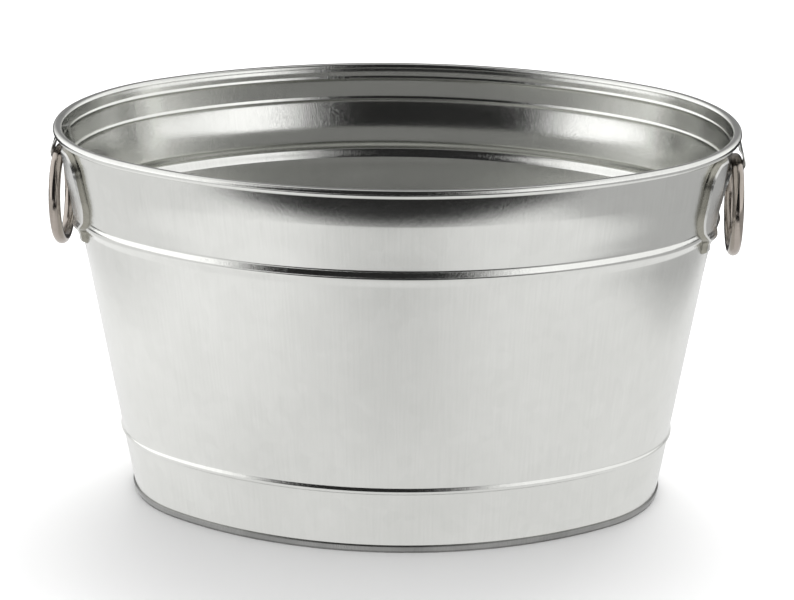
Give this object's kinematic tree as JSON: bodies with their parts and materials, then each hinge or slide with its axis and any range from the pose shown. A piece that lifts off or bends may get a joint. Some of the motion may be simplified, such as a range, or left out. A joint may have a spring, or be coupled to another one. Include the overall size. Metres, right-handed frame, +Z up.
{
  "type": "florist bucket",
  "caption": "Oval galvanised steel tub with a rolled rim, two raised beads, a seamed foot and a drop ring handle hanging from a loop at each end.",
  "frame": {"origin": "centre of the foot, on the surface the tub stands on", "axes": "+X along the tub's long axis towards one ring handle, +Y across the tub, +Z up"},
  "size_m": [0.4936, 0.3518, 0.2772],
  "materials": {
    "galvanised_sheet": "bright galvanised sheet with a fine upright grain and faint clouding",
    "plate_steel": "satin galvanised pressing",
    "rivet_steel": "satin zinc",
    "ring_steel": "polished nickel-toned steel rod",
    "wire": "plain drawn wire"
  },
  "bodies": {
    "tub": {"shell_front": "galvanised_sheet", "shell_back": "galvanised_sheet", "rim_wire": "wire", "bottom_pan": "galvanised_sheet", "handle_plate_left": "plate_steel", "handle_plate_right": "plate_steel", "ring_loop_left": "plate_steel", "ring_loop_right": "plate_steel", "plate_rivets_left": "rivet_steel", "plate_rivets_right": "rivet_steel"},
    "ring_handle_left": {"ring_left": "ring_steel"},
    "ring_handle_right": {"ring_right": "ring_steel"}
  },
  "joints": [
    {"name": "ring_left_swing", "type": "hinge", "parent": "tub", "child": "ring_handle_left", "pos_m": [-0.2406, 0, 0.2514], "axis": [0, 1, 0], "range_deg": [-10, 155]},
    {"name": "ring_right_swing", "type": "hinge", "parent": "tub", "child": "ring_handle_right", "pos_m": [0.2406, 0, 0.2514], "axis": [0, -1, 0], "range_deg": [-10, 155]}
  ]
}
